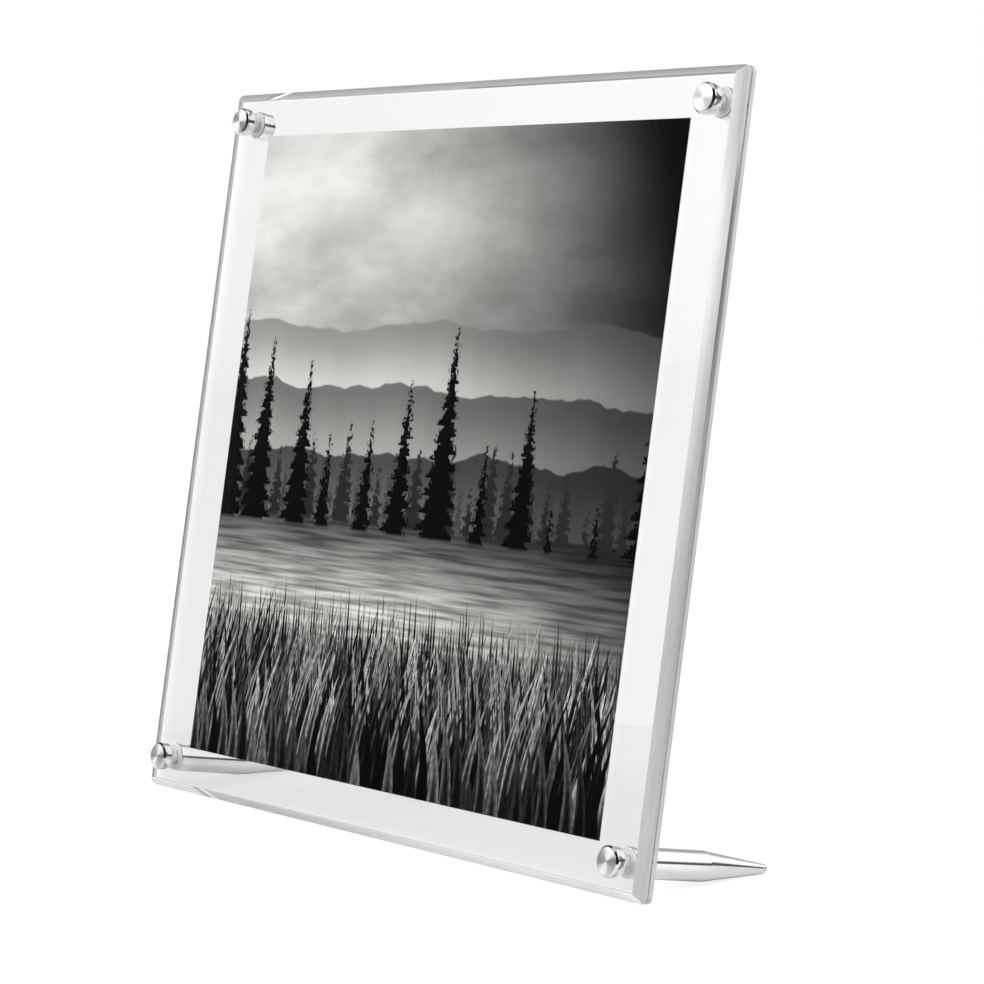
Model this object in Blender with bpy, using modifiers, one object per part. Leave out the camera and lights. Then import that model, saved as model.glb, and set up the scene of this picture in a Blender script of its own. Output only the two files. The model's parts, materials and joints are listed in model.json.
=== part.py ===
"""Acrylic tabletop frame.

Two clear panels clamp a square print between them. The front panel has a broad mitred bevel round its face.
A stud with a turned cap passes through each corner. The two lower studs screw into long tapered legs, which
lean the frame back, and the two upper ones into short barrel nuts.

The panels and the fixings are modelled upright, hung on one empty, and that empty leans back until the lower
back edge of the back panel and the two leg tips stand on z = 0. +X is to the viewer's right and -Y is the front.
"""
from math import acos, asin, atan2, cos, hypot, pi, sin

import bmesh
import bpy
from mathutils import Matrix, Vector

MM = 0.001

# Print and panels
PRINT_WIDTH = 254.0 * MM
PRINT_HEIGHT = 254.0 * MM
PRINT_THICKNESS = 0.25 * MM
PRINT_CLEARANCE = 0.1 * MM
SIDE_BORDER = 25.4 * MM
TOP_BORDER = 18.0 * MM
FRONT_THICKNESS = 4.5 * MM
BACK_THICKNESS = 2.0 * MM
BEVEL_WIDTH = 3.1 * MM
CORNER_RADIUS = 2.5 * MM
CORNER_SEGMENTS = 6

# Fixings at the four corners
FIXING_INSET = 12.7 * MM
HARDWARE_DIAMETER = 11.2 * MM
STUD_DIAMETER = 5.0 * MM
THREAD_CLEARANCE = 0.1 * MM
HOLE_CLEARANCE = 0.6 * MM
SEAT_GAP = 0.15 * MM
WASHER_THICKNESS = 0.5 * MM
WASHER_SETBACK = 0.4 * MM
EDGE_BREAK = 0.25 * MM
ROUND_STEPS = 48

# Caps, barrel nuts and legs
CAP_HEIGHT = 4.1 * MM
CAP_CHAMFER = 0.8 * MM
CAP_FACE_WALL = 1.4 * MM
NUT_LENGTH = 6.0 * MM
NUT_CHAMFER = 0.6 * MM
NUT_END_WALL = 1.2 * MM
STUD_END_GAP = 0.3 * MM
STUD_CHAMFER = 0.5 * MM
LEG_LENGTH = 64.8 * MM
LEG_STRAIGHT = 32.5 * MM
LEG_TIP_RADIUS = 1.8 * MM
LEG_TIP_STEPS = 6
LEG_BORE_EXTRA = 2.0 * MM

# How far a cutter stands clear of what it cuts
CUTTER_MARGIN = 2.0 * MM

# Worked out from the sizes above
PANEL_WIDTH = PRINT_WIDTH + 2 * SIDE_BORDER
PANEL_HEIGHT = PRINT_HEIGHT + 2 * TOP_BORDER
PRINT_SLOT = PRINT_THICKNESS + 2 * PRINT_CLEARANCE
STACK = FRONT_THICKNESS + PRINT_SLOT + BACK_THICKNESS
HARDWARE_RADIUS = HARDWARE_DIAMETER / 2
STUD_RADIUS = STUD_DIAMETER / 2
THREAD_RADIUS = STUD_RADIUS + THREAD_CLEARANCE
HOLE_RADIUS = STUD_RADIUS + HOLE_CLEARANCE
SEAT = 2 * SEAT_GAP + WASHER_THICKNESS
CAP_BORE = CAP_HEIGHT - CAP_FACE_WALL
NUT_BORE = NUT_LENGTH - NUT_END_WALL
STUD_FRONT = SEAT + CAP_BORE - STUD_END_GAP
STUD_BACK = STACK + SEAT + NUT_BORE - STUD_END_GAP
LEG_BORE = NUT_BORE + LEG_BORE_EXTRA

ASSEMBLY = "acrylic_tabletop_frame"
CORNERS = {
    "top_left": (-1, 1),
    "top_right": (1, 1),
    "bottom_left": (-1, -1),
    "bottom_right": (1, -1),
}


def clear_scene():
    for obj in list(bpy.data.objects):
        bpy.data.objects.remove(obj, do_unlink=True)


def new_collection(name):
    collection = bpy.data.collections.new(name)
    bpy.context.scene.collection.children.link(collection)
    return collection


def new_material(name, colour, roughness, metallic=0.0, transmission=0.0):
    material = bpy.data.materials.new(name)
    material.use_nodes = True
    shader = material.node_tree.nodes["Principled BSDF"]
    shader.inputs["Base Color"].default_value = (*colour, 1.0)
    shader.inputs["Roughness"].default_value = roughness
    shader.inputs["Metallic"].default_value = metallic
    shader.inputs["Transmission Weight"].default_value = transmission
    return material


def new_object(name, mesh, collection, parent, location=(0, 0, 0)):
    obj = bpy.data.objects.new(name, mesh)
    collection.objects.link(obj)
    obj.parent = parent
    obj.location = location
    return obj


def new_empty(name, collection, parent=None):
    return new_object(name, None, collection, parent)


def box_mesh(bm, width, depth, height, centre=(0, 0, 0)):
    """A box in X, Y and Z, added to a bmesh."""
    place = Matrix.Translation(centre) @ Matrix.Diagonal((width, depth, height, 1))
    bmesh.ops.create_cube(bm, size=1.0, matrix=place)


def finish_mesh(bm, name):
    mesh = bpy.data.meshes.new(name)
    bm.to_mesh(mesh)
    bm.free()
    return mesh


def score_window(bm):
    """Scores a panel along the print's edges, so that its flat has a facet clear of the fixings."""
    side = PRINT_WIDTH / 2
    lines = [((-side, 0, 0), (1, 0, 0)), ((side, 0, 0), (1, 0, 0)),
             ((0, 0, TOP_BORDER), (0, 0, 1)), ((0, 0, TOP_BORDER + PRINT_HEIGHT), (0, 0, 1))]
    for place, normal in lines:
        whole = bm.verts[:] + bm.edges[:] + bm.faces[:]
        bmesh.ops.bisect_plane(bm, geom=whole, plane_co=place, plane_no=normal)


def plate(name, width, height, thickness, corner_radius, collection, parent, front):
    """An upright sheet standing on z = 0, with its front face at y = front and rounded corners."""
    bm = bmesh.new()
    box_mesh(bm, width, thickness, height, (0, thickness / 2, height / 2))
    if corner_radius:
        corner_edges = []
        for edge in bm.edges:
            along = edge.verts[1].co - edge.verts[0].co
            if abs(along.y) > thickness / 2:
                corner_edges.append(edge)
        bmesh.ops.bevel(bm, geom=corner_edges, offset=corner_radius, segments=CORNER_SEGMENTS,
                        profile=0.5, affect="EDGES")
        score_window(bm)
    return new_object(name, finish_mesh(bm, name), collection, parent, (0, front, 0))


def bevel_block(collection, parent, front):
    """A block with a mitred 45 degree bevel round its front, to be intersected with the front panel."""
    margin = CUTTER_MARGIN
    depth = FRONT_THICKNESS + 2 * margin
    bm = bmesh.new()
    box_mesh(bm, PANEL_WIDTH + 2 * margin, depth, PANEL_HEIGHT + 2 * margin,
             (0, depth / 2 - margin, PANEL_HEIGHT / 2))
    front_edges = []
    for edge in bm.edges:
        if all(vert.co.y < 0 for vert in edge.verts):
            front_edges.append(edge)
    bmesh.ops.bevel(bm, geom=front_edges, offset=BEVEL_WIDTH + 2 * margin, segments=1, affect="EDGES")
    block = new_object("bevel_block", finish_mesh(bm, "bevel_block"), collection, parent, (0, front, 0))
    return as_cutter(block)


def hole_cutter(collection, parent):
    """Four rods through both panels, on the fixing axes."""
    length = STACK + 2 * CUTTER_MARGIN
    bm = bmesh.new()
    for x, z in fixing_places().values():
        place = Matrix.Translation((x, -STACK / 2, z)) @ Matrix.Rotation(pi / 2, 4, "X")
        bmesh.ops.create_cone(bm, cap_ends=True, segments=ROUND_STEPS, radius1=HOLE_RADIUS,
                              radius2=HOLE_RADIUS, depth=length, matrix=place)
    return as_cutter(new_object("hole_cutter", finish_mesh(bm, "hole_cutter"), collection, parent))


def as_cutter(obj):
    obj.hide_render = True
    obj.display_type = "WIRE"
    return obj


def add_boolean(obj, cutter, operation):
    modifier = obj.modifiers.new(cutter.name, "BOOLEAN")
    modifier.operation = operation
    modifier.object = cutter
    modifier.solver = "EXACT"


def fixing_places():
    """The x and z of each fixing axis, on the upright panels."""
    places = {}
    for corner, (side, level) in CORNERS.items():
        x = side * (PANEL_WIDTH / 2 - FIXING_INSET)
        z = PANEL_HEIGHT / 2 + level * (PANEL_HEIGHT / 2 - FIXING_INSET)
        places[corner] = (x, z)
    return places


def turned(name, profile, collection, parent, z, closed=False):
    """A profile of (radius, height) points, run from its top down its outer side and spun about the fixing axis."""
    bm = bmesh.new()
    verts = [bm.verts.new((radius, 0, height)) for radius, height in profile]
    for first, second in zip(verts, verts[1:]):
        bm.edges.new((first, second))
    if closed:
        bm.edges.new((verts[-1], verts[0]))
    obj = new_object(name, finish_mesh(bm, name), collection, parent, (0, 0, z))
    screw = obj.modifiers.new("Turned", "SCREW")
    screw.axis = "Z"
    screw.angle = 2 * pi
    screw.steps = ROUND_STEPS
    screw.render_steps = ROUND_STEPS
    screw.use_merge_vertices = True
    screw.merge_threshold = 0.00001
    screw.use_smooth_shade = True
    return obj


def cap_profile():
    """A flat cap with a chamfered rim, and a blind threaded bore in its back."""
    return [
        (0, CAP_HEIGHT),
        (HARDWARE_RADIUS - CAP_CHAMFER, CAP_HEIGHT),
        (HARDWARE_RADIUS, CAP_HEIGHT - CAP_CHAMFER),
        (HARDWARE_RADIUS, EDGE_BREAK),
        (HARDWARE_RADIUS - EDGE_BREAK, 0),
        (THREAD_RADIUS, 0),
        (THREAD_RADIUS, CAP_BORE),
        (0, CAP_BORE),
    ]


def stud_profile():
    """A threaded rod with chamfered ends, drawn at its outside diameter."""
    return [
        (0, STUD_FRONT),
        (STUD_RADIUS - STUD_CHAMFER, STUD_FRONT),
        (STUD_RADIUS, STUD_FRONT - STUD_CHAMFER),
        (STUD_RADIUS, -STUD_BACK + STUD_CHAMFER),
        (STUD_RADIUS - STUD_CHAMFER, -STUD_BACK),
        (0, -STUD_BACK),
    ]


def washer_profile():
    """A thin flat ring, from its front face down to its back face."""
    outer = HARDWARE_RADIUS - WASHER_SETBACK
    return [
        (outer, WASHER_THICKNESS),
        (outer, 0),
        (HOLE_RADIUS, 0),
        (HOLE_RADIUS, WASHER_THICKNESS),
    ]


def bored_seat(bore):
    """The seat of a nut or leg: from the axis at the bottom of its bore, out over its seat face to its rim."""
    return [
        (0, -bore),
        (THREAD_RADIUS, -bore),
        (THREAD_RADIUS, 0),
        (HARDWARE_RADIUS - EDGE_BREAK, 0),
        (HARDWARE_RADIUS, -EDGE_BREAK),
    ]


def nut_profile():
    """A barrel nut with a blind bore, chamfered at its closed end."""
    return bored_seat(NUT_BORE) + [
        (HARDWARE_RADIUS, -NUT_LENGTH + NUT_CHAMFER),
        (HARDWARE_RADIUS - NUT_CHAMFER, -NUT_LENGTH),
        (0, -NUT_LENGTH),
    ]


def leg_profile():
    """A straight shank, a long cone that runs out into a ball tip, and a blind bore in its seat."""
    ball = LEG_LENGTH - LEG_TIP_RADIUS
    cone_run = ball - LEG_STRAIGHT
    slope = atan2(HARDWARE_RADIUS, cone_run) - asin(LEG_TIP_RADIUS / hypot(cone_run, HARDWARE_RADIUS))
    points = bored_seat(LEG_BORE) + [(HARDWARE_RADIUS, -LEG_STRAIGHT)]
    for step in range(LEG_TIP_STEPS):
        angle = slope + (pi / 2 - slope) * step / LEG_TIP_STEPS
        points.append((LEG_TIP_RADIUS * cos(angle), -ball - LEG_TIP_RADIUS * sin(angle)))
    return points + [(0, -LEG_LENGTH)]


def lean_angle():
    """The lean at which the back panel's lower back edge and the leg tips touch one level surface."""
    reach = SEAT + LEG_LENGTH - LEG_TIP_RADIUS
    return acos(LEG_TIP_RADIUS / hypot(FIXING_INSET, reach)) - atan2(reach, FIXING_INSET)


def build_panels(parts, cutters, root, materials):
    holes = hole_cutter(cutters, root)
    front = plate("front_panel", PANEL_WIDTH, PANEL_HEIGHT, FRONT_THICKNESS, CORNER_RADIUS, parts, root, -STACK)
    add_boolean(front, bevel_block(cutters, root, -STACK), "INTERSECT")
    back = plate("back_panel", PANEL_WIDTH, PANEL_HEIGHT, BACK_THICKNESS, CORNER_RADIUS, parts, root,
                 -BACK_THICKNESS)
    for panel in (front, back):
        add_boolean(panel, holes, "DIFFERENCE")
        panel.data.materials.append(materials["acrylic"])
    photo = plate("photo_print", PRINT_WIDTH, PRINT_HEIGHT, PRINT_THICKNESS, 0, parts, root,
                  -BACK_THICKNESS - PRINT_CLEARANCE - PRINT_THICKNESS)
    photo.location.z = TOP_BORDER
    photo.data.materials.append(materials["paper"])


def build_fixing(corner, parts, root, materials):
    """Cap, stud, washers and nut or leg of one corner, on an empty that faces out along the fixing axis."""
    x, z = fixing_places()[corner]
    axis = new_empty("fixing_axis_" + corner, parts, root)
    axis.location = (x, -STACK, z)
    axis.rotation_euler = (pi / 2, 0, 0)
    pieces = {
        turned("cap_" + corner, cap_profile(), parts, axis, SEAT): "brushed_metal",
        turned("stud_" + corner, stud_profile(), parts, axis, 0): "stud_metal",
        turned("front_washer_" + corner, washer_profile(), parts, axis, SEAT_GAP, True): "washer",
        turned("back_washer_" + corner, washer_profile(), parts, axis,
               -STACK - SEAT_GAP - WASHER_THICKNESS, True): "washer",
    }
    if corner.startswith("bottom"):
        side = corner.split("_")[1]
        holder = turned("leg_" + side, leg_profile(), parts, axis, -STACK - SEAT)
    else:
        holder = turned("back_nut_" + corner, nut_profile(), parts, axis, -STACK - SEAT)
    pieces[holder] = "polished_metal"
    for piece, finish in pieces.items():
        piece.data.materials.append(materials[finish])


def stand_on_origin(parts, root):
    """Lean the frame back, then centre its footprint on the origin with its lowest point at z = 0."""
    root.rotation_euler = (-lean_angle(), 0, 0)
    bpy.context.view_layer.update()
    graph = bpy.context.evaluated_depsgraph_get()
    points = []
    for obj in parts.objects:
        if obj.type == "MESH":
            shape = obj.evaluated_get(graph)
            mesh = shape.to_mesh()
            points += [obj.matrix_world @ vert.co for vert in mesh.vertices]
            shape.to_mesh_clear()
    low = Vector(min(point[axis] for point in points) for axis in range(3))
    high = Vector(max(point[axis] for point in points) for axis in range(3))
    middle = (low + high) / 2
    root.location = (-middle.x, -middle.y, -low.z)
    bpy.context.view_layer.update()


def main():
    clear_scene()
    parts = new_collection(ASSEMBLY)
    cutters = new_collection(ASSEMBLY + "_cutters")
    materials = {
        "acrylic": new_material("clear_acrylic", (0.96, 0.98, 0.97), 0.02, transmission=1.0),
        "paper": new_material("photo_paper", (0.32, 0.32, 0.31), 0.4),
        "brushed_metal": new_material("brushed_metal", (0.78, 0.78, 0.77), 0.28, metallic=1.0),
        "polished_metal": new_material("polished_metal", (0.82, 0.82, 0.81), 0.12, metallic=1.0),
        "stud_metal": new_material("stud_metal", (0.62, 0.62, 0.6), 0.35, metallic=1.0),
        "washer": new_material("clear_washer", (0.93, 0.94, 0.94), 0.3, transmission=0.8),
    }
    root = new_empty("frame_lean", parts)
    build_panels(parts, cutters, root, materials)
    for corner in CORNERS:
        build_fixing(corner, parts, root, materials)
    stand_on_origin(parts, root)


main()
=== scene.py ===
"""Looks of the acrylic tabletop frame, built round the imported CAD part.

Every piece is meshed in the frame of the CAD part. Places on the panels are measured in their upright frame:
x to the right, y to the back from the back panel's rear face, z up from the panels' bottom edge.
"""

import json
from math import atan2, cos, pi, radians, sin

import bmesh
import bpy
from mathutils import Matrix, Vector

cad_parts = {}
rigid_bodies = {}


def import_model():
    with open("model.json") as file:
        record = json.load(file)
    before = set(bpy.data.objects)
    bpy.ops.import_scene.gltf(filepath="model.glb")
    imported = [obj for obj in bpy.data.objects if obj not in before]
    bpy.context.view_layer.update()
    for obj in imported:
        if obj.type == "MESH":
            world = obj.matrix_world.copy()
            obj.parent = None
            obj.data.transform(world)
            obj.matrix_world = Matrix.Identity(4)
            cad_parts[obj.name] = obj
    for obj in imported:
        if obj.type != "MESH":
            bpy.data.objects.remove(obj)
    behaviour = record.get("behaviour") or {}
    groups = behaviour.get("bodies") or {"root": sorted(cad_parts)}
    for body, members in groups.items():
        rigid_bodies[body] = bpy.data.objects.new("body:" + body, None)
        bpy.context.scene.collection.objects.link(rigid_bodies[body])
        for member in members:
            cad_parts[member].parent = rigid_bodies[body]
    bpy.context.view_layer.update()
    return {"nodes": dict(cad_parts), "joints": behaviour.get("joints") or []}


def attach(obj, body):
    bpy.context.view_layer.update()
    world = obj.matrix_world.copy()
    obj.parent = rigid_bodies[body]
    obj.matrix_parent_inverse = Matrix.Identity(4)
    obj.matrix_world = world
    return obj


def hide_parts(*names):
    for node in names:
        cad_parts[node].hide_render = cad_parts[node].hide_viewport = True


for thing in list(bpy.data.objects):
    bpy.data.objects.remove(thing)

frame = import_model()

MM = 0.001
CORNERS = ("top_left", "top_right", "bottom_left", "bottom_right")

# The camera that was fitted to the photo's edges.
CAMERA_PLACE = Vector((0.91703, -0.72561, 0.22985))
CAMERA_AIM = Vector((0.04578, -0.0107, 0.13391))
CAMERA_ROLL = radians(-0.192)
CAMERA_LENS = 112.38
CAMERA_SENSOR = 36.0

# Sheets: widths of the softened edges (the print's is a share of its thickness), and limits for sorting faces.
EDGE_SOFTENING = 0.12 * MM
BACK_SOFTENING = 0.35 * MM
PRINT_SOFTENING = 0.3
SOFT_STEPS = 2
SOFT_ANGLE = radians(25)
SMOOTH_ANGLE = radians(28)
WELD_REACH = 0.002 * MM
FLAT_ANGLE = radians(0.5)
FLAT_FACING = 0.99
BEVEL_FACING = 0.5
FACE_SLACK = 0.05 * MM
RIM_SLACK = 0.01 * MM
BORE_REACH = 9 * MM

# Turned pieces. The map's length along an outline is in tenths of a metre.
TURN_STEPS = 144
TURNED_ROUNDING = 0.12 * MM
WASHER_ROUNDING = 0.15 * MM
ROUNDING_STEPS = 4
ROUNDING_SHARE = 0.4
SAME_PLACE = 0.02 * MM
POINT_RADIUS = 1e-7
MAP_SCALE = 10.0

# The studs' thread. Foot, crest and end are shares of the pitch.
THREAD_PITCH = 0.8 * MM
THREAD_DEPTH = 0.45 * MM
THREAD_SINK = 0.02 * MM
THREAD_FOOT = 0.44
THREAD_CREST = 0.07
THREAD_END = 0.6
THREAD_STEPS = 28
THREAD_MAP_STEP = 0.002
STUD_CHAMFER = 0.3 * MM

joints = {j["name"]: j for j in frame["joints"]}
front_normal = Vector(joints["front_panel_draw"]["axis"]).normalized()
LEAN = atan2(front_normal.z, -front_normal.y)
TILT = Matrix.Rotation(-LEAN, 4, "X")


def tilted_box(node_name, inverse):
    """Lowest and highest corner of a CAD node in the frame that inverse leads to."""
    places = [inverse @ v.co for v in frame["nodes"][node_name].data.vertices]
    low = Vector(min(p[k] for p in places) for k in range(3))
    high = Vector(max(p[k] for p in places) for k in range(3))
    return low, high


back_low, back_high = tilted_box("back_panel", TILT.inverted())
UPRIGHT = TILT @ Matrix.Translation((0.0, back_high.y, back_low.z))
TO_UPRIGHT = UPRIGHT.inverted()


def upright_box(node_name):
    return tilted_box(node_name, TO_UPRIGHT)


def fixing_matrix(corner):
    """The frame of one fixing: z along the front normal, from the front panel's face."""
    place = TO_UPRIGHT @ Vector(joints["cap_turn_" + corner]["pos_m"])
    return UPRIGHT @ Matrix.Translation(place) @ Matrix.Rotation(pi / 2, 4, "X")


def fixing_box(node_name, corner):
    return tilted_box(node_name, fixing_matrix(corner).inverted())


# Sizes from the frame

front_low, front_high = upright_box("front_panel")
print_low, print_high = upright_box("photo_print")
back_front = upright_box("back_panel")[0].y
flat_rim = [p for p in (TO_UPRIGHT @ v.co for v in frame["nodes"]["front_panel"].data.vertices)
            if p.y < front_low.y + RIM_SLACK]
flat_low = Vector((min(p.x for p in flat_rim), 0.0, min(p.z for p in flat_rim)))
flat_high = Vector((max(p.x for p in flat_rim), 0.0, max(p.z for p in flat_rim)))
BEVEL_REACH = front_high.x - flat_high.x
fixing_spots = [TO_UPRIGHT @ Vector(joints["cap_turn_" + c]["pos_m"]) for c in CORNERS]


# Node helpers

# Windows of a noise's values, from which a range of tones is made.
WIDE = (0.2, 0.8)
EVEN = (0.25, 0.75)
TIGHT = (0.3, 0.7)


def node(tree, kind, inputs=None, **settings):
    made = tree.nodes.new(kind)
    for name, value in settings.items():
        setattr(made, name, value)
    for name, value in (inputs or {}).items():
        if isinstance(value, bpy.types.NodeSocket):
            tree.links.new(value, made.inputs[name])
        else:
            made.inputs[name].default_value = value
    return made


def calc(tree, operation, a, b=0.0):
    return node(tree, "ShaderNodeMath", {0: a, 1: b}, operation=operation).outputs[0]


def times(tree, a, b):
    return calc(tree, "MULTIPLY", a, b)


def plus(tree, a, b):
    return calc(tree, "ADD", a, b)


def minus(tree, a, b):
    return calc(tree, "SUBTRACT", a, b)


def ramp(tree, value, low, high, start=0.0, end=1.0):
    """A smooth step from start to end while value goes from low to high."""
    made = node(tree, "ShaderNodeMapRange", {0: value, 1: low, 2: high, 3: start, 4: end},
                interpolation_type="SMOOTHSTEP", clamp=True)
    return made.outputs[0]


def ramp_line(tree, value, low, high):
    return node(tree, "ShaderNodeMapRange", {0: value, 1: low, 2: high}, clamp=True).outputs[0]


def blend(tree, factor, a, b):
    return node(tree, "ShaderNodeMix", {0: factor, 2: a, 3: b}, data_type="FLOAT").outputs[0]


def tint(tree, factor, a, b):
    return node(tree, "ShaderNodeMix", {0: factor, 6: a, 7: b}, data_type="RGBA").outputs[2]


def shaded(tree, colour, share):
    """The colour times a share, or times another colour."""
    made = node(tree, "ShaderNodeMix", {0: 1.0, 6: colour, 7: share}, data_type="RGBA", blend_type="MULTIPLY")
    return made.outputs[2]


def noise(tree, place, scale=1.0, detail=2.0, roughness=0.5):
    made = node(tree, "ShaderNodeTexNoise",
                {"Vector": place, "Scale": scale, "Detail": detail, "Roughness": roughness})
    return made.outputs[0]


def vector(tree, x=0.0, y=0.0, z=0.0):
    return node(tree, "ShaderNodeCombineXYZ", {0: x, 1: y, 2: z}).outputs[0]


def spread(tree, u, v, along, up, layer=0.0):
    """A place on the print, stretched for a noise."""
    return vector(tree, times(tree, u, along), times(tree, v, up), layer)


def parts_of(tree, value):
    return node(tree, "ShaderNodeSeparateXYZ", {0: value}).outputs


def bumped(tree, height, strength, distance):
    made = node(tree, "ShaderNodeBump", {"Strength": strength, "Distance": distance, "Height": height})
    return made.outputs[0]


def principled(tree, inputs):
    return node(tree, "ShaderNodeBsdfPrincipled", inputs).outputs[0]


def plain_shader(tree, kind, colour):
    return node(tree, "ShaderNode" + kind, {"Color": colour}).outputs[0]


def mix_shaders(tree, factor, first, second):
    return node(tree, "ShaderNodeMixShader", {0: factor, 1: first, 2: second}).outputs[0]


def object_place(tree):
    return node(tree, "ShaderNodeTexCoord").outputs["Object"]


def upright_place(tree):
    """The shaded point in the upright frame of the panels."""
    made = node(tree, "ShaderNodeMapping",
                {"Vector": object_place(tree), "Location": UPRIGHT.translation, "Rotation": (-LEAN, 0.0, 0.0)},
                vector_type="TEXTURE")
    return made.outputs[0]


def new_material(name):
    made = bpy.data.materials.new(name)
    made.use_nodes = True
    made.node_tree.nodes.clear()
    return made, made.node_tree


def close_material(tree, shader):
    node(tree, "ShaderNodeOutputMaterial", {"Surface": shader})


def rgb(red, green, blue):
    return (red, green, blue, 1.0)


def grey(tone):
    return rgb(tone, tone, tone)


# Acrylic and vinyl

ACRYLIC_INDEX = 1.49
RIM_ROUGHNESS = 0.05
BORE_INDEX = 1.06
BORE_ROUGHNESS = 0.12
BORE_FROST = 0.6
BORE_GLOW = 0.4
VINYL_INDEX = 1.45
VINYL_ROUGHNESS = 0.3
VINYL_GLOW = 0.15
PASSING = rgb(0.93, 0.935, 0.935)

# Edges with painted light and shade: blur of the mitres, the share of the half width over which the bottom's
# painted tone runs, and the heights, in shares, between which the painted tone across the edge comes to its
# full strength.
MITRE_BLUR = 0.2 * MM
BOTTOM_RUN = 0.6
ACROSS_HEIGHTS = (0.2, 0.55)
ACROSS_LOW_SHARE = 0.25

# The painted glint in the bevels by the left corners: a painted reflection of the print's left edge, slanting
# outward. Pairs hold a share and a tone.
GLINT_SLANT = 2.4
GLINT_WIDTH = 5.0 * MM
GLINT_LOW_SHIFT = 12.0 * MM
GLINT_CORNER = (0.6, 0.95)
GLINT_DARK = (0.55, 0.13)
GLINT_LIGHT = 0.93


def let_light_pass(tree, shader):
    """The shader, but open to the light of lamps and of lit surfaces."""
    open_way = plain_shader(tree, "BsdfTransparent", PASSING)
    path = node(tree, "ShaderNodeLightPath").outputs
    passing = calc(tree, "MAXIMUM", path["Is Shadow Ray"], path["Is Diffuse Ray"])
    return mix_shaders(tree, passing, shader, open_way)


def clear_acrylic(name, colour):
    """Clear polished plastic, with a faint swirl in its mirror image."""
    made, tree = new_material(name)
    swirl = noise(tree, upright_place(tree), scale=9.0, detail=1.0)
    glass = principled(tree, {"Base Color": colour, "Roughness": 0.0, "IOR": ACRYLIC_INDEX,
                              "Transmission Weight": 1.0,
                              "Normal": bumped(tree, swirl, strength=0.012, distance=1.0 * MM)})
    close_material(tree, let_light_pass(tree, glass))
    return made


def painted_shade_rim_acrylic(name, left_tone, right_tone, bottom_tone):
    """The clear rim behind the bevel, tinted with painted shade in the grey of the bevel's shade: lighter on
    the left, darker on the right, paler at the bottom.
    """
    made, tree = new_material(name)
    place = parts_of(tree, upright_place(tree))
    x, z = place[0], place[2]
    tone = blend(tree, calc(tree, "GREATER_THAN", x, 0.0), left_tone, right_tone)
    in_mitre = minus(tree, plus(tree, z, calc(tree, "ABSOLUTE", x)), front_high.x)
    low = times(tree, calc(tree, "LESS_THAN", in_mitre, 0.0), calc(tree, "LESS_THAN", z, flat_low.z))
    cloud = noise(tree, vector(tree, x, 0.0, z), scale=300.0)
    tone = times(tree, blend(tree, low, tone, bottom_tone), ramp(tree, cloud, *TIGHT, 0.92, 1.08))
    glass = principled(tree, {"Base Color": tone, "Roughness": RIM_ROUGHNESS, "IOR": ACRYLIC_INDEX,
                              "Transmission Weight": 1.0})
    close_material(tree, let_light_pass(tree, glass))
    return made


def stepped(tree, value, stops):
    """A faintly green grey that runs through (place, tone) stops while value goes from 0 to 1."""
    made = node(tree, "ShaderNodeValToRGB", {0: value})
    band = made.color_ramp
    while len(band.elements) < len(stops):
        band.elements.new(0.5)
    for element, (place, tone) in zip(band.elements, stops):
        element.position = place
        element.color = rgb(tone * 0.985, tone, tone * 0.99)
    return made.outputs[0]


def add_painted_glint(tree, tone, x, z):
    """The bevel's tone with a painted reflection of the print's left edge in it: a dark and a light stripe that
    slant outward, and a lighter painted tone beside them in the lower half.
    """
    outward = calc(tree, "MAXIMUM", minus(tree, z, flat_high.z), minus(tree, flat_low.z, z))
    low_half = calc(tree, "LESS_THAN", z, front_high.z / 2)
    start = blend(tree, low_half, print_low.x, print_low.x + GLINT_LOW_SHIFT)
    along = minus(tree, minus(tree, x, times(tree, outward, GLINT_SLANT)), start)

    def stripe(*stops):
        """A stripe that rises between its first two stops and falls between its last two."""
        rise, full, fall, end = (stop * GLINT_WIDTH for stop in stops)
        return times(tree, ramp(tree, along, rise, full), ramp(tree, along, fall, end, 1.0, 0.0))

    corner = times(tree, low_half, ramp(tree, along, -GLINT_WIDTH, 0.0, 1.0, 0.0))
    dark = stripe(-1.0, -0.7, -0.3, 0.0)
    light = stripe(0.0, 0.3, 0.8, 1.0)
    tone = tint(tree, times(tree, corner, GLINT_CORNER[0]), tone, grey(GLINT_CORNER[1]))
    tone = tint(tree, times(tree, dark, GLINT_DARK[0]), tone, grey(GLINT_DARK[1]))
    return tint(tree, light, tone, grey(GLINT_LIGHT))


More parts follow.
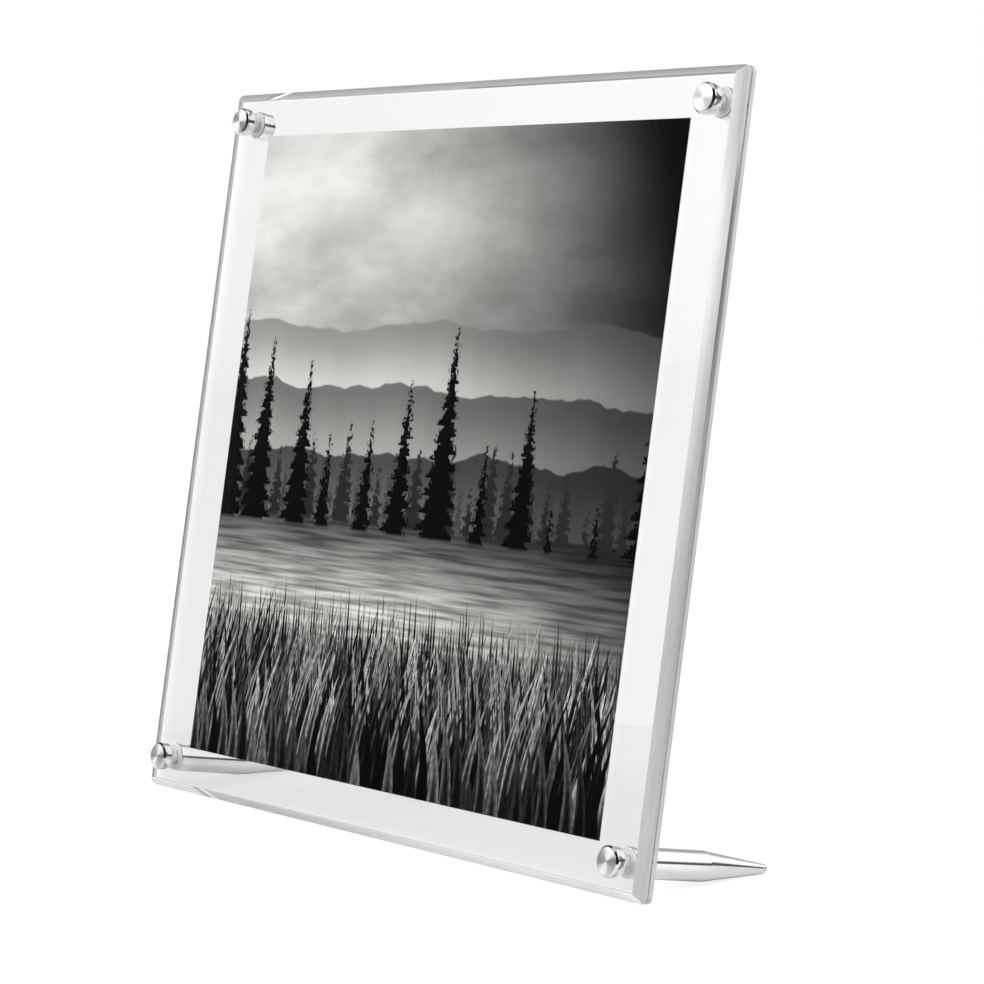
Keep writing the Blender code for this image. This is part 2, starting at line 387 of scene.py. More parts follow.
def painted_edge_acrylic(name, side_stops, top_tone, bottom_tones, roughness, across, painted_glint=False):
    """A polished edge painted with greys that stand in for its light and shade: a pale grey for the light it
    gathers from the panel, changing up the side, and painted tones along the top, the bottom and across its
    depth.

    bottom_tones are those at the left and the right end. across holds a start and an end in depth,
    and the share of the painted tone that shows there. An edge with painted_glint has the painted slanting
    glint.
    """
    made, tree = new_material(name)
    x, y, z = parts_of(tree, upright_place(tree))[:3]
    height = calc(tree, "DIVIDE", z, front_high.z)
    from_side = minus(tree, calc(tree, "ABSOLUTE", x), front_high.x)
    from_top = minus(tree, z, front_high.z)
    above = minus(tree, from_top, from_side)
    below = minus(tree, times(tree, z, -1.0), from_side)
    bottom_end = front_high.x * BOTTOM_RUN
    bottom = ramp(tree, x, -bottom_end, bottom_end, *bottom_tones)
    tone = stepped(tree, height, side_stops)
    tone = tint(tree, ramp(tree, above, -MITRE_BLUR, MITRE_BLUR), tone, grey(top_tone))
    tone = tint(tree, ramp(tree, below, -MITRE_BLUR, MITRE_BLUR), tone, bottom)
    # Painted reflection of the print's left edge, as a dark and a light stripe.
    if painted_glint:
        tone = add_painted_glint(tree, tone, x, z)
    stretched = vector(tree, times(tree, x, 60.0), times(tree, y, 900.0), times(tree, z, 60.0))
    streaks = noise(tree, stretched, detail=3.0)
    share = ramp(tree, height, *ACROSS_HEIGHTS, ACROSS_LOW_SHARE, 1.0)
    depth = blend(tree, share, 1.0, ramp(tree, y, *across))
    tone = shaded(tree, tone, times(tree, ramp(tree, streaks, *EVEN, 0.94, 1.05), depth))
    outside = principled(tree, {"Base Color": tone, "Roughness": roughness, "IOR": ACRYLIC_INDEX,
                                "Normal": bumped(tree, streaks, strength=0.08, distance=0.2 * MM)})
    glow = plain_shader(tree, "BsdfTranslucent", tone)
    inside = node(tree, "ShaderNodeNewGeometry").outputs["Backfacing"]
    close_material(tree, mix_shaders(tree, inside, outside, glow))
    return made


def drilled_acrylic(name):
    """The frosted wall that a drill leaves, with its fine rings. The screw shows dimly through it."""
    made, tree = new_material(name)
    y = parts_of(tree, upright_place(tree))[1]
    rings = noise(tree, vector(tree, 0.0, times(tree, y, 9000.0), 0.0))
    tone = tint(tree, ramp(tree, rings, *TIGHT), rgb(0.88, 0.89, 0.89), grey(0.99))
    glass = principled(tree, {"Base Color": tone, "Roughness": BORE_ROUGHNESS, "IOR": BORE_INDEX,
                              "Transmission Weight": 1.0})
    frost = plain_shader(tree, "BsdfDiffuse", tone)
    glow = plain_shader(tree, "BsdfTranslucent", tone)
    wall = mix_shaders(tree, BORE_FROST, glass, mix_shaders(tree, BORE_GLOW, frost, glow))
    close_material(tree, let_light_pass(tree, wall))
    return made


def milky_vinyl(name):
    """Soft vinyl, milky enough to show as a pale ring."""
    made, tree = new_material(name)
    cloud = noise(tree, upright_place(tree), scale=700.0)
    tone = tint(tree, ramp(tree, cloud, *TIGHT), grey(0.96), grey(0.99))
    front = principled(tree, {"Base Color": tone, "Roughness": VINYL_ROUGHNESS, "IOR": VINYL_INDEX})
    glow = plain_shader(tree, "BsdfTranslucent", tone)
    close_material(tree, mix_shaders(tree, VINYL_GLOW, front, glow))
    return made


# Metal

TURNED_MAP = "turned"
BRUSHED_TURN = 0.25


def turned_metal(name, colour, roughness, lines, depth, anisotropic=0.0):
    """Metal with the fine marks of the lathe running round it: lines sets how fine, and depth how deep."""
    made, tree = new_material(name)
    along = parts_of(tree, node(tree, "ShaderNodeUVMap", uv_map=TURNED_MAP).outputs[0])[1]
    marks = noise(tree, vector(tree, 0.0, times(tree, along, lines), 0.0), detail=4.0, roughness=0.7)
    smears = noise(tree, object_place(tree), scale=160.0, detail=3.0)
    rough = plus(tree, ramp(tree, marks, *TIGHT, roughness * 0.85, roughness * 1.15),
                 ramp(tree, smears, 0.35, 0.7, 0.0, 0.03))
    tone = shaded(tree, colour, ramp(tree, marks, *WIDE, 0.93, 1.0))
    inputs = {"Base Color": tone, "Metallic": 1.0, "Roughness": rough, "Anisotropic": anisotropic,
              "Normal": bumped(tree, marks, strength=depth, distance=0.05 * MM)}
    if anisotropic:
        run = node(tree, "ShaderNodeTangent", direction_type="UV_MAP", uv_map=TURNED_MAP)
        inputs["Tangent"] = run.outputs[0]
        inputs["Anisotropic Rotation"] = BRUSHED_TURN
    close_material(tree, principled(tree, inputs))
    return made


# The made-up picture. Places are shares of the print's side.
# The sky's and the lake's tones are those at the left and the right.
SKY = (0.74, 0.003)
LAKE = (0.75, 0.03)
DUSK = (0.5, 1.32)
DUSK_SLOPE = 0.35
FAR_SHORE = 0.40
NEAR_SHORE = 0.24
SHORE_BLUR = 0.002
RIDGE_HAZE = 0.13
BLADE_LIGHT = 0.09
BLADE_POWER = 0.75
PALE_BLADES = 2.5
PRINT_WARMTH = rgb(1.0, 0.965, 0.93)

# Rows from far to near. A ridge: level, swing, pace, start of its noise, tone.
RIDGES = ((0.70, 0.15, 2.6, 11.0, 0.52), (0.60, 0.15, 3.7, 23.0, 0.30), (0.50, 0.12, 5.1, 37.0, 0.12))
# Firs: count, base, lowest and highest fir, slope, tiers, seed, tone.
FIR_ROWS = ((41.0, 0.405, 0.03, 0.08, 0.24, 70.0, 0.31, 0.060),
            (23.0, 0.395, 0.05, 0.17, 0.21, 52.0, 0.57, 0.022),
            (11.0, 0.385, 0.06, 0.34, 0.16, 38.0, 0.13, 0.002))
# Grass: count, lowest and highest blade, bend, base, dark and pale tone, blur.
MEADOW = ((151.0, 0.03, 0.10, 0.2, 0.20, 0.02, 0.55, 0.002),
          (121.0, 0.04, 0.14, -0.5, 0.15, 0.015, 0.75, 0.002),
          (91.0, 0.05, 0.16, 0.8, 0.10, 0.008, 0.60, 0.003),
          (67.0, 0.05, 0.18, -1.2, 0.05, 0.005, 0.70, 0.004),
          (37.0, 0.05, 0.16, 1.6, -0.01, 0.002, 0.25, 0.010))


def chances(tree, run, seed):
    """Three random shares for each whole step of run."""
    step = plus(tree, calc(tree, "FLOOR", run), seed * 77.0)
    made = node(tree, "ShaderNodeTexWhiteNoise", {"W": step}, noise_dimensions="1D")
    return parts_of(tree, made.outputs["Color"])


def blades(tree, u, v, count, low, high, bend, seed):
    """Heights of a row of bent blades, and a random share for each one."""
    sway = times(tree, times(tree, v, v), bend)
    run = times(tree, plus(tree, plus(tree, u, sway), seed), count)
    chance = chances(tree, run, seed)
    shape = calc(tree, "POWER", times(tree, calc(tree, "PINGPONG", run, 0.5), 2.0), BLADE_POWER)
    return times(tree, shape, blend(tree, chance[0], low, high)), chance[1]


def firs(tree, u, v, count, base, low, high, slope, tiers, seed):
    """Where a row of firs stands, each with its own height and with tiers of branches."""
    run = times(tree, plus(tree, u, seed), count)
    chance = chances(tree, run, seed)
    aside = times(tree, minus(tree, chance[1], 0.5), 0.3)
    middle = plus(tree, minus(tree, calc(tree, "FRACT", run), 0.5), aside)
    out = calc(tree, "DIVIDE", calc(tree, "ABSOLUTE", middle), count)
    below = minus(tree, plus(tree, blend(tree, chance[0], low, high), base), v)
    start = plus(tree, chance[2], times(tree, calc(tree, "GREATER_THAN", middle, 0.0), 0.4))
    tier = calc(tree, "FRACT", plus(tree, times(tree, below, tiers), start))
    reach = times(tree, times(tree, below, slope), blend(tree, tier, 0.5, 1.0))
    twigs = noise(tree, spread(tree, u, v, along=210.0, up=150.0, layer=seed), detail=4.0, roughness=0.6)
    reach = plus(tree, reach, ramp(tree, twigs, *EVEN, -0.008, 0.007))
    standing = times(tree, ramp(tree, below, 0.0, 0.004), ramp(tree, v, base - 0.008, base))
    return times(tree, ramp(tree, minus(tree, reach, out), -0.001, 0.001), standing)


def print_face(name, low, high):
    """A made-up grey landscape: hazy sky, ridges, rows of firs, a lake and a meadow."""
    made, tree = new_material(name)
    place = parts_of(tree, upright_place(tree))
    u = ramp_line(tree, place[0], low.x, high.x)
    v = ramp_line(tree, place[2], low.z, high.z)
    right = ramp(tree, plus(tree, u, times(tree, v, DUSK_SLOPE)), *DUSK)
    clouds = noise(tree, spread(tree, u, v, along=2.2, up=5.0, layer=3.0), detail=5.0, roughness=0.55)
    image = times(tree, blend(tree, right, *SKY), ramp(tree, clouds, *EVEN, 0.5, 1.3))
    for level, swing, pace, start, tone in RIDGES:
        run = noise(tree, vector(tree, times(tree, u, pace), start, 0.0), detail=4.0)
        crest = plus(tree, times(tree, minus(tree, run, 0.5), swing), level)
        above = minus(tree, crest, v)
        haze = ramp(tree, above, 0.0, RIDGE_HAZE, tone * 0.6, tone * 1.5)
        haze = times(tree, haze, blend(tree, right, 1.0, 0.18))
        image = blend(tree, ramp(tree, above, -0.002, 0.002), image, haze)
    ripples = noise(tree, spread(tree, u, v, along=6.0, up=120.0), detail=4.0)
    depth = ramp(tree, v, NEAR_SHORE, FAR_SHORE, 1.0, 0.12)
    lake = times(tree, times(tree, blend(tree, right, *LAKE), depth), ramp(tree, ripples, *TIGHT, 0.35, 1.2))
    on_lake = ramp(tree, v, FAR_SHORE - SHORE_BLUR, FAR_SHORE + SHORE_BLUR, 1.0, 0.0)
    image = blend(tree, on_lake, image, lake)
    for count, base, lower, higher, slope, tiers, seed, tone in FIR_ROWS:
        wood = firs(tree, u, v, count, base, lower, higher, slope, tiers, seed)
        image = blend(tree, wood, image, tone)
    leaves = noise(tree, spread(tree, u, v, along=160.0, up=90.0, layer=5.0), detail=3.0)
    for row, (count, lower, higher, bend, base, dark, pale, blur) in enumerate(MEADOW):
        tall, chance = blades(tree, u, v, count, lower, higher, bend, 0.37 * row + 0.2)
        above = minus(tree, plus(tree, tall, base), v)
        tone = blend(tree, calc(tree, "POWER", chance, PALE_BLADES), dark, pale)
        tone = times(tree, tone, ramp(tree, above, 0.0, BLADE_LIGHT, 1.0, 0.06))
        tone = times(tree, tone, ramp(tree, leaves, *TIGHT, 0.5, 1.25))
        image = blend(tree, ramp(tree, above, -blur, blur), image, tone)
    shader = principled(tree, {"Base Color": shaded(tree, image, PRINT_WARMTH), "Roughness": 0.12, "IOR": 1.45,
                               "Specular IOR Level": 0.2})
    close_material(tree, shader)
    return made


def paper(name):
    made, tree = new_material(name)
    fibres = noise(tree, upright_place(tree), scale=900.0, detail=4.0)
    tone = tint(tree, ramp(tree, fibres, *TIGHT), rgb(0.74, 0.74, 0.72), rgb(0.82, 0.82, 0.81))
    close_material(tree, principled(tree, {"Base Color": tone, "Roughness": 0.7}))
    return made


# Mesh helpers

def add_object(name, mesh, materials):
    for material in materials:
        mesh.materials.append(material)
    made = bpy.data.objects.new(name, mesh)
    bpy.context.scene.collection.objects.link(made)
    return made


def finish_mesh(bm, name):
    mesh = bpy.data.meshes.new(name)
    bm.to_mesh(mesh)
    bm.free()
    mesh.polygons.foreach_set("use_smooth", [True] * len(mesh.polygons))
    mesh.set_sharp_from_angle(angle=SMOOTH_ANGLE)
    return mesh


def soften(piece, width, slot=-1):
    """Breaks the sharp edges, so that they catch the light. The slot is that of the new faces' material."""
    made = piece.modifiers.new("soft_edges", "BEVEL")
    made.width = width
    made.segments = SOFT_STEPS
    made.limit_method = "ANGLE"
    made.angle_limit = SOFT_ANGLE
    made.harden_normals = True
    made.use_clamp_overlap = True
    made.material = slot


CLEAR, BEVEL, EDGE, BORE, RIM_PAINTED_SHADE = range(5)
RIM_CUTS = ((flat_low, (1, 0, 0)), (flat_high, (1, 0, 0)), (flat_low, (0, 0, 1)), (flat_high, (0, 0, 1)))


def outside_flat(place):
    return not (flat_low.x < place.x < flat_high.x and flat_low.z < place.z < flat_high.z)


def panel_finish(normal, centre):
    """The finish of a panel's face. The back panel's front gets painted shade on its rim, outside the flat."""
    on_back_front = normal.y < -FLAT_FACING and abs(centre.y - back_front) < FACE_SLACK
    if on_back_front and outside_flat(centre):
        return RIM_PAINTED_SHADE
    if abs(normal.y) > FLAT_FACING:
        return CLEAR
    if any(abs(centre.x - s.x) < BORE_REACH and abs(centre.z - s.z) < BORE_REACH for s in fixing_spots):
        return BORE
    if normal.y < -BEVEL_FACING:
        return BEVEL
    return EDGE


def panel_piece(name, node_name, materials, edge_width, edge_slot=-1, cuts=()):
    """A panel with the CAD panel's shape, its flats joined and cut along lines, its faces sorted by finish."""
    bm = bmesh.new()
    bm.from_mesh(frame["nodes"][node_name].data)
    bmesh.ops.remove_doubles(bm, verts=bm.verts, dist=WELD_REACH)
    bmesh.ops.dissolve_limit(bm, angle_limit=FLAT_ANGLE, verts=bm.verts, edges=bm.edges)
    across = UPRIGHT.to_3x3()
    for place, normal in cuts:
        whole = bm.verts[:] + bm.edges[:] + bm.faces[:]
        bmesh.ops.bisect_plane(bm, geom=whole, plane_co=UPRIGHT @ place, plane_no=across @ Vector(normal))
    turn = TO_UPRIGHT.to_3x3()
    for face in bm.faces:
        face.material_index = panel_finish(turn @ face.normal, TO_UPRIGHT @ face.calc_center_median())
    piece = add_object(name, finish_mesh(bm, name), materials)
    soften(piece, edge_width, edge_slot)
    return piece


def rounded(points, radius):
    """A turned outline of (radius, height, finish), with its inner corners rounded."""
    made = [points[0]]
    for before, at, after in zip(points, points[1:], points[2:]):
        here = Vector(at[:2])
        to_before = Vector(before[:2]) - here
        to_after = Vector(after[:2]) - here
        reach = min(radius, to_before.length * ROUNDING_SHARE, to_after.length * ROUNDING_SHARE)
        start = here + to_before.normalized() * reach
        end = here + to_after.normalized() * reach
        for step in range(ROUNDING_STEPS + 1):
            t = step / ROUNDING_STEPS
            spot = start.lerp(here, t).lerp(here.lerp(end, t), t)
            finish = at[2] if step == ROUNDING_STEPS else before[2]
            made.append((spot.x, spot.y, finish))
    made.append(points[-1])
    return made


def turned_piece(name, outline, matrix, materials, steps=TURN_STEPS):
    """Turns an outline round z. Each point's finish holds up to the next point."""
    bm = bmesh.new()
    layer = bm.loops.layers.uv.new(TURNED_MAP)
    turns = [2 * pi * k / steps for k in range(steps)]
    rings = []
    for radius, height, _ in outline:
        if radius < POINT_RADIUS:
            rings.append([bm.verts.new((0.0, 0.0, height))])
            continue
        rings.append([bm.verts.new((radius * cos(turn), radius * sin(turn), height)) for turn in turns])
    along = [0.0]
    for a, b in zip(outline, outline[1:]):
        along.append(along[-1] + (Vector(b[:2]) - Vector(a[:2])).length)
    for row in range(len(rings) - 1):
        for k in range(steps):
            turn_on_band(bm, layer, rings, along, row, k, steps, outline[row][2])
    bmesh.ops.remove_doubles(bm, verts=bm.verts, dist=POINT_RADIUS)
    bmesh.ops.recalc_face_normals(bm, faces=bm.faces)
    mesh = finish_mesh(bm, name)
    mesh.transform(matrix)
    return add_object(name, mesh, materials)


def turn_on_band(bm, layer, rings, along, row, k, steps, finish):
    """One face of a turned piece, with its place round the turn and along the outline as its map."""
    nearer, further = rings[row], rings[row + 1]
    corners = []
    for ring, level, turn in ((nearer, row, k), (nearer, row, k + 1),
                              (further, row + 1, k + 1), (further, row + 1, k)):
        vert = ring[turn % steps] if len(ring) > 1 else ring[0]
        if vert not in [c[0] for c in corners]:
            corners.append((vert, (turn / steps, along[level] * MAP_SCALE)))
    if len(corners) < 3:
        return
    face = bm.faces.new([c[0] for c in corners])
    face.material_index = finish
    for loop, corner in zip(face.loops, corners):
        loop[layer].uv = corner[1]


def thread_piece(name, low, high, matrix, material):
    """A screw with a real helical thread, on a core with chamfered ends."""
    radius = high.x
    core = radius - THREAD_DEPTH
    tip = core - STUD_CHAMFER
    outline = [(0.0, low.z, 0), (tip, low.z, 0), (core, low.z + STUD_CHAMFER, 0),
               (core, high.z - STUD_CHAMFER, 0), (tip, high.z, 0), (0.0, high.z, 0)]
    piece = turned_piece(name, outline, matrix, [material], THREAD_STEPS)
    bm = bmesh.new()
    layer = bm.loops.layers.uv.new(TURNED_MAP)
    root = core - THREAD_SINK
    section = ((-THREAD_FOOT, root), (-THREAD_CREST, radius), (THREAD_CREST, radius), (THREAD_FOOT, root))
    first = low.z + THREAD_PITCH * THREAD_END
    last = high.z - THREAD_PITCH * THREAD_END
    count = int((last - first) / THREAD_PITCH * THREAD_STEPS)
    rows = []
    for k in range(count + 1):
        level = first + THREAD_PITCH * k / THREAD_STEPS
        ease = min(1.0, k / THREAD_STEPS, (count - k) / THREAD_STEPS)
        angle = 2 * pi * k / THREAD_STEPS
        row = []
        for shift, reach in section:
            out = root + (reach - root) * ease
            row.append(bm.verts.new((out * cos(angle), out * sin(angle), level + shift * THREAD_PITCH)))
        rows.append(row)
    for k, (a, b) in enumerate(zip(rows, rows[1:])):
        for j in range(len(section) - 1):
            face = bm.faces.new((a[j], b[j], b[j + 1], a[j + 1]))
            for loop, uv in zip(face.loops, ((k, j), (k + 1, j), (k + 1, j + 1), (k, j + 1))):
                loop[layer].uv = (uv[0] / THREAD_STEPS, uv[1] * THREAD_MAP_STEP)
    ridge = finish_mesh(bm, name + "_ridge")
    ridge.transform(matrix)
    whole = bmesh.new()
    whole.from_mesh(piece.data)
    whole.from_mesh(ridge)
    whole.to_mesh(piece.data)
    whole.free()
    bpy.data.meshes.remove(ridge)
    return piece


def put(piece, node_name, body):
    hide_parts(node_name)
    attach(piece, body)


# Panels

acrylic = clear_acrylic("acrylic_clear", rgb(0.991, 0.995, 0.995))
# Painted shade: the back panel's rim behind the bevel is tinted grey, lighter on the left, darker on the right,
# paler at the bottom.
rim_painted_shade_material = painted_shade_rim_acrylic("acrylic_rim_painted_shade", left_tone=0.24, right_tone=0.10, bottom_tone=0.55)
bore_acrylic = drilled_acrylic("acrylic_bore")
# Painted light and shade on the edges: the tones up the sides, along the top and the bottom, and across the
# depth stand in for light the edges gather and shade they lie in. The rear edge is painted darker by the gap
# between the panels.
bevel_edge = painted_edge_acrylic(
    "acrylic_bevel_painted_shading",
    side_stops=((0.0, 0.56), (0.1, 0.57), (0.33, 0.51), (0.56, 0.58),
                (0.65, 0.66), (0.72, 0.76), (0.82, 0.80), (0.92, 0.64)),
    top_tone=0.27, bottom_tones=(0.55, 0.84), roughness=0.08,
    across=(front_low.y, front_low.y + BEVEL_REACH, 1.22, 0.88), painted_glint=True)
land_edge = painted_edge_acrylic(
    "acrylic_land_painted_shading",
    side_stops=((0.0, 0.46), (0.2, 0.36), (0.4, 0.31), (0.58, 0.29), (0.68, 0.19), (0.83, 0.19), (0.91, 0.52)),
    top_tone=0.33, bottom_tones=(0.55, 0.65), roughness=0.1,
    across=(front_low.y, front_high.y, 1.0, 0.95))
rear_edge = painted_edge_acrylic(
    "acrylic_rear_edge_painted_shading",
    side_stops=((0.0, 0.50), (0.15, 0.45), (0.3, 0.41), (0.6, 0.49), (0.9, 0.54)),
    top_tone=0.35, bottom_tones=(0.60, 0.65), roughness=0.1,
    across=(back_front + 0.2 * MM, back_front + 0.5 * MM, 0.45, 1.0))

front = panel_piece("front_panel_piece", "front_panel", [acrylic, bevel_edge, land_edge, bore_acrylic],
                    EDGE_SOFTENING)
put(front, "front_panel", "front_panel")
back = panel_piece("back_panel_piece", "back_panel", [acrylic, rear_edge, rear_edge, bore_acrylic, rim_painted_shade_material],
                   BACK_SOFTENING, EDGE, RIM_CUTS)
put(back, "back_panel", "frame")


# Print

IMAGE, PAPER = range(2)


def print_piece():
    bm = bmesh.new()
    bmesh.ops.create_cube(bm, size=1.0)
    size = print_high - print_low
    middle = (print_high + print_low) / 2
    for vert in bm.verts:
        vert.co = Vector(vert.co[k] * size[k] for k in range(3)) + middle
    for face in bm.faces:
        face.material_index = IMAGE if face.normal.y < -0.5 else PAPER
    mesh = finish_mesh(bm, "print_piece")
    mesh.transform(UPRIGHT)
    materials = [print_face("print_image", print_low, print_high), paper("print_paper")]
    piece = add_object("print_piece", mesh, materials)
    soften(piece, size.y * PRINT_SOFTENING)
    return piece


sheet = print_piece()
put(sheet, "photo_print", "frame")


# Fixings

brushed_face = turned_metal("cap_face_metal", rgb(0.72, 0.72, 0.71), roughness=0.42, lines=900.0, depth=0.25,
                            anisotropic=0.75)
polished_rim = turned_metal("cap_rim_metal", rgb(0.66, 0.66, 0.67), roughness=0.07, lines=400.0, depth=0.03)
polished_side = turned_metal("cap_side_metal", grey(0.82), roughness=0.09, lines=500.0, depth=0.05)
leg_metal = turned_metal("leg_turned_metal", grey(0.84), roughness=0.10, lines=260.0, depth=0.08)
stud_metal = turned_metal("stud_turned_metal", grey(0.93), roughness=0.65, lines=300.0, depth=0.05)
washer_vinyl = milky_vinyl("washer_vinyl")


def turned_rings(node_name, corner):
    """Radius and height of every ring of a turned CAD node, from its front to its back."""
    inverse = fixing_matrix(corner).inverted()
    found = set()
    for vert in frame["nodes"][node_name].data.vertices:
        place = inverse @ vert.co
        found.add((round(place.xy.length / MM, 2), round(place.z / MM, 2)))
    rings = sorted(found, key=lambda ring: (-ring[1], ring[0]))
    return [(radius * MM, height * MM) for radius, height in rings]


def split_bore(rings, seat):
    """A turned node's outside rings, its bore's radius, and the height of the bore's blind end."""
    bore = min(radius for radius, height in rings if abs(height - seat) < SAME_PLACE)
    inside = [ring for ring in rings if abs(ring[0] - bore) < SAME_PLACE]
    outside = [ring for ring in rings if ring not in inside and ring[0] > SAME_PLACE]
    blind = max((height for _, height in inside), key=lambda height: abs(height - seat))
    return outside, bore, blind


FACE, RIM, SIDE = range(3)


def cap_piece(corner):
    """A cap, bored from its seat on the washer up to a blind end."""
    name = "cap_" + corner
    rings = turned_rings(name, corner)
    seat = rings[-1][1]
    outside, bore, blind = split_bore(rings, seat)
    (face, top), (side, shoulder), (_, foot), (heel, _) = outside
    outline = [(0.0, top, FACE), (face, top, RIM), (side, shoulder, SIDE), (side, foot, SIDE),
               (heel, seat, SIDE), (bore, seat, SIDE), (bore, blind, SIDE), (0.0, blind, SIDE)]
    return turned_piece(name + "_piece", rounded(outline, TURNED_ROUNDING), fixing_matrix(corner),
                        [brushed_face, polished_rim, polished_side])


def rear_piece(node_name, corner):
    """A back nut or a leg, bored from its seat and turned down to its end."""
    rings = turned_rings(node_name, corner)
    seat = rings[0][1]
    outside, bore, blind = split_bore(rings, seat)
    end = fixing_box(node_name, corner)[0].z
    outline = [(0.0, blind, 0), (bore, blind, 0), (bore, seat, 0)]
    outline += [(radius, height, 0) for radius, height in outside]
    outline.append((0.0, end, 0))
    return turned_piece(node_name + "_piece", rounded(outline, TURNED_ROUNDING), fixing_matrix(corner),
                        [leg_metal])


def washer_piece(node_name, corner):
    """A washer, whose outline starts and ends in the middle of a flat side."""
    low, high = fixing_box(node_name, corner)
    inner = min(radius for radius, _ in turned_rings(node_name, corner))
    middle = (inner + high.x) / 2
    outline = [(middle, high.z, 0), (high.x, high.z, 0), (high.x, low.z, 0), (inner, low.z, 0),
               (inner, high.z, 0), (middle, high.z, 0)]
    return turned_piece(node_name + "_piece", rounded(outline, WASHER_ROUNDING), fixing_matrix(corner),
                        [washer_vinyl])


REAR_NODES = {"top_left": "back_nut_top_left", "top_right": "back_nut_top_right",
              "bottom_left": "leg_left", "bottom_right": "leg_right"}
for corner in CORNERS:
    put(cap_piece(corner), "cap_" + corner, "cap_" + corner)
    stud = "stud_" + corner
    put(thread_piece(stud + "_piece", *fixing_box(stud, corner), fixing_matrix(corner), stud_metal),
        stud, "cap_" + corner)
    washer = "front_washer_" + corner
    put(washer_piece(washer, corner), washer, "travel_" + corner)
    washer = "back_washer_" + corner
    put(washer_piece(washer, corner), washer, "frame")
    put(rear_piece(REAR_NODES[corner], corner), REAR_NODES[corner], "frame")


# Stage

# A run holds the start and the end of a change: metres on the floor, parts of a ray's direction elsewhere.

FLOOR_REACH = 6.0
FLOOR_CUTS = 8
WHITE = grey(1.0)
WHITE_GLOW = 0.80
SHADOW_SHADE = grey(0.32)

# What shows through the acrylic: a table up to a horizon round the part, and a wall beyond it.
HORIZON = 0.262
HORIZON_BLUR = 0.004
WALL = rgb(1.19, 1.185, 1.185)
WALL_LOW = rgb(1.10, 1.105, 1.11)
WALL_FRONT = rgb(1.0, 1.005, 1.005)
WALL_RISE_RUN = (-0.10, 0.03)
WALL_BACK_RUN = (-0.15, 0.15)
TABLE = rgb(1.01, 1.005, 1.0)
TABLE_FRONT = rgb(0.93, 0.93, 0.93)
TABLE_RUN = (-0.12, -0.02)
TABLE_EVEN_SHARE = 0.85

# The lit table, and how it darkens to the front where acrylic or metal mirrors it.
TABLE_SHADES = (0.77, 0.79)
MIRRORED_DARK = 0.08
ACRYLIC_DARK_RUN = (-0.12, -0.05)
METAL_DARK_RUN = (-0.34, -0.14)

# The studio that metal and acrylic mirror: a soft box at the left front, a light above, and a rear wall.
BOX_WAY = Vector((-0.656, -0.755, 0.0))
BOX_SIDE_RUN = (0.83, 0.89)
BOX_FOOT_RUN = (0.29, 0.34)
BOX_HEAD_RUN = (0.73, 0.67)
BOX_LIGHT = 1.75
BOX_IN_METAL = 5.8
FRONT_LIGHT = 0.02
REAR_RUN = (-0.1, 0.25)
REAR_RISE_RUN = (0.18, 0.28)
REAR_LOW_RUN = (-0.1, 0.35)
REAR_LOW_LIGHTS = (0.78, 0.10)
REAR_HIGH_RUN = (-0.35, 0.0)
REAR_HIGH_LIGHTS = (0.45, 1.3)
TOP_RUN = (0.88, 0.95)
TOP_LIGHT = 1.0

LAMP_AIM = Vector((0.0, 0.0, 0.12))
LAMP_SIZE = 1.2


def in_metal(tree, path):
    """1 for a ray that a brushed or polished surface sends on, and 0 for one that clear acrylic mirrors."""
    return times(tree, path["Is Glossy Ray"], minus(tree, 1.0, path["Is Singular Ray"]))


def floor_material():
    """White to the camera but for the shadow. Through the acrylic and in the metal it is a pale table."""
    made, tree = new_material("floor_white")
    place = object_place(tree)
    y = parts_of(tree, place)[1]
    path = node(tree, "ShaderNodeLightPath").outputs
    in_mirror = calc(tree, "GREATER_THAN", path["Glossy Depth"], 0.5)
    straight_through = times(tree, minus(tree, 1.0, in_mirror), path["Is Transmission Ray"])

    pale = ramp(tree, noise(tree, place, scale=40.0), *TIGHT, *TABLE_SHADES)
    in_acrylic = ramp(tree, y, *ACRYLIC_DARK_RUN, MIRRORED_DARK, 1.0)
    darkened = blend(tree, in_metal(tree, path), in_acrylic, ramp(tree, y, *METAL_DARK_RUN, MIRRORED_DARK, 1.0))
    lit = plain_shader(tree, "BsdfDiffuse", blend(tree, in_mirror, pale, times(tree, pale, darkened)))
    even = plain_shader(tree, "Emission", tint(tree, ramp(tree, y, *TABLE_RUN), TABLE_FRONT, TABLE))
    table = mix_shaders(tree, times(tree, straight_through, TABLE_EVEN_SHARE), lit, even)

    wall = plain_shader(tree, "Emission", tint(tree, ramp(tree, y, *WALL_BACK_RUN), WALL_FRONT, WALL_LOW))
    away = node(tree, "ShaderNodeVectorMath", {0: place}, operation="LENGTH").outputs["Value"]
    far = ramp(tree, away, HORIZON - HORIZON_BLUR, HORIZON + HORIZON_BLUR)
    seen = mix_shaders(tree, times(tree, far, straight_through), table, wall)

    white = node(tree, "ShaderNodeEmission", {"Color": WHITE, "Strength": WHITE_GLOW}).outputs[0]
    shadow = plain_shader(tree, "BsdfDiffuse", SHADOW_SHADE)
    direct = node(tree, "ShaderNodeAddShader", {0: white, 1: shadow}).outputs[0]
    close_material(tree, mix_shaders(tree, path["Is Camera Ray"], seen, direct))
    return made


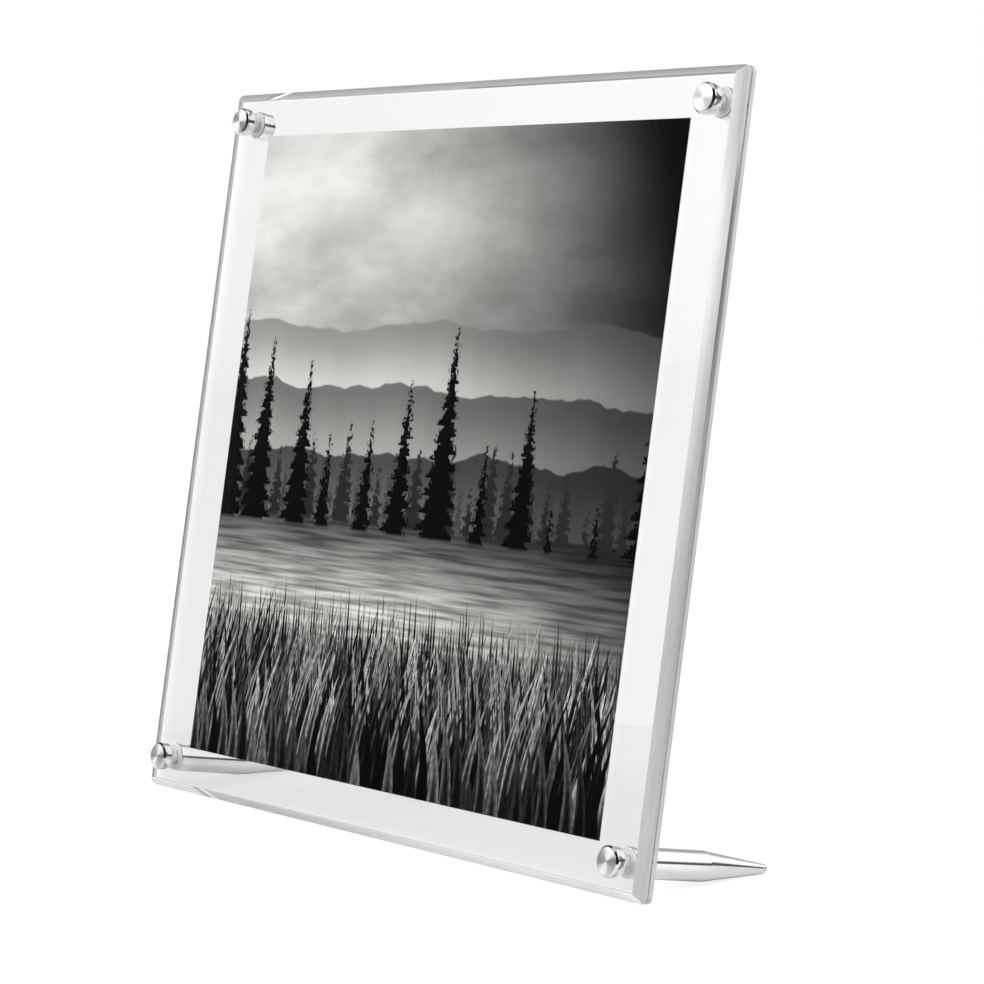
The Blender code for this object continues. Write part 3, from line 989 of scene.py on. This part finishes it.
def studio_world():
    """White to the camera, a pale wall through the acrylic, and a studio with soft boxes in the metal."""
    made = bpy.data.worlds.new("studio")
    bpy.context.scene.world = made
    made.use_nodes = True
    tree = made.node_tree
    tree.nodes.clear()
    x, y, z = parts_of(tree, node(tree, "ShaderNodeTexCoord").outputs["Generated"])[:3]
    path = node(tree, "ShaderNodeLightPath").outputs

    level_way = node(tree, "ShaderNodeVectorMath", {0: vector(tree, x, y, 0.0)}, operation="NORMALIZE")
    aim = node(tree, "ShaderNodeVectorMath", {0: level_way.outputs[0], 1: BOX_WAY}, operation="DOT_PRODUCT")
    upright = times(tree, ramp(tree, z, *BOX_FOOT_RUN), ramp(tree, z, *BOX_HEAD_RUN))
    box = times(tree, ramp(tree, aim.outputs["Value"], *BOX_SIDE_RUN), upright)
    front = blend(tree, box, FRONT_LIGHT, blend(tree, in_metal(tree, path), BOX_LIGHT, BOX_IN_METAL))
    low = blend(tree, ramp(tree, x, *REAR_LOW_RUN), *REAR_LOW_LIGHTS)
    high = blend(tree, ramp(tree, x, *REAR_HIGH_RUN), *REAR_HIGH_LIGHTS)
    rear = blend(tree, ramp(tree, z, *REAR_RISE_RUN), low, high)
    around = blend(tree, ramp(tree, y, *REAR_RUN), front, rear)
    studio = blend(tree, ramp(tree, z, *TOP_RUN), around, TOP_LIGHT)

    straight = calc(tree, "LESS_THAN", path["Glossy Depth"], 0.5)
    wall = tint(tree, ramp(tree, z, *WALL_RISE_RUN), WALL_LOW, WALL)
    wall = tint(tree, ramp(tree, y, *WALL_BACK_RUN), WALL_FRONT, wall)
    through = tint(tree, times(tree, path["Is Transmission Ray"], straight), studio, wall)
    colour = tint(tree, path["Is Camera Ray"], through, WHITE)
    light = plain_shader(tree, "Background", colour)
    node(tree, "ShaderNodeOutputWorld", {"Surface": light})


def add_lamp(name, place, power, mirrored):
    """A round soft box, aimed at the part. Only a mirrored one shows in the metal."""
    data = bpy.data.lights.new(name, "AREA")
    data.shape = "DISK"
    data.size = LAMP_SIZE
    data.energy = power
    made = bpy.data.objects.new(name, data)
    bpy.context.scene.collection.objects.link(made)
    made.location = place
    made.rotation_mode = "QUATERNION"
    made.rotation_quaternion = (LAMP_AIM - Vector(place)).to_track_quat("-Z", "Y")
    made.visible_transmission = False
    made.visible_glossy = mirrored


def add_camera():
    data = bpy.data.cameras.new("camera")
    data.sensor_width = CAMERA_SENSOR
    data.lens = CAMERA_LENS
    made = bpy.data.objects.new("camera", data)
    bpy.context.scene.collection.objects.link(made)
    made.location = CAMERA_PLACE
    made.rotation_mode = "QUATERNION"
    look = (CAMERA_AIM - CAMERA_PLACE).to_track_quat("-Z", "Y")
    made.rotation_quaternion = look @ Matrix.Rotation(CAMERA_ROLL, 3, "Z").to_quaternion()
    bpy.context.scene.camera = made


def add_floor():
    bm = bmesh.new()
    bmesh.ops.create_grid(bm, x_segments=FLOOR_CUTS, y_segments=FLOOR_CUTS, size=FLOOR_REACH / 2)
    mesh = finish_mesh(bm, "floor")
    add_object("floor", mesh, [floor_material()])


add_floor()
studio_world()
add_lamp("key_light", place=(-1.0, -1.5, 1.5), power=48.0, mirrored=False)
add_lamp("fill_light", place=(1.3, 0.5, 1.4), power=22.0, mirrored=True)
add_camera()
bpy.context.scene.view_settings.view_transform = "Standard"
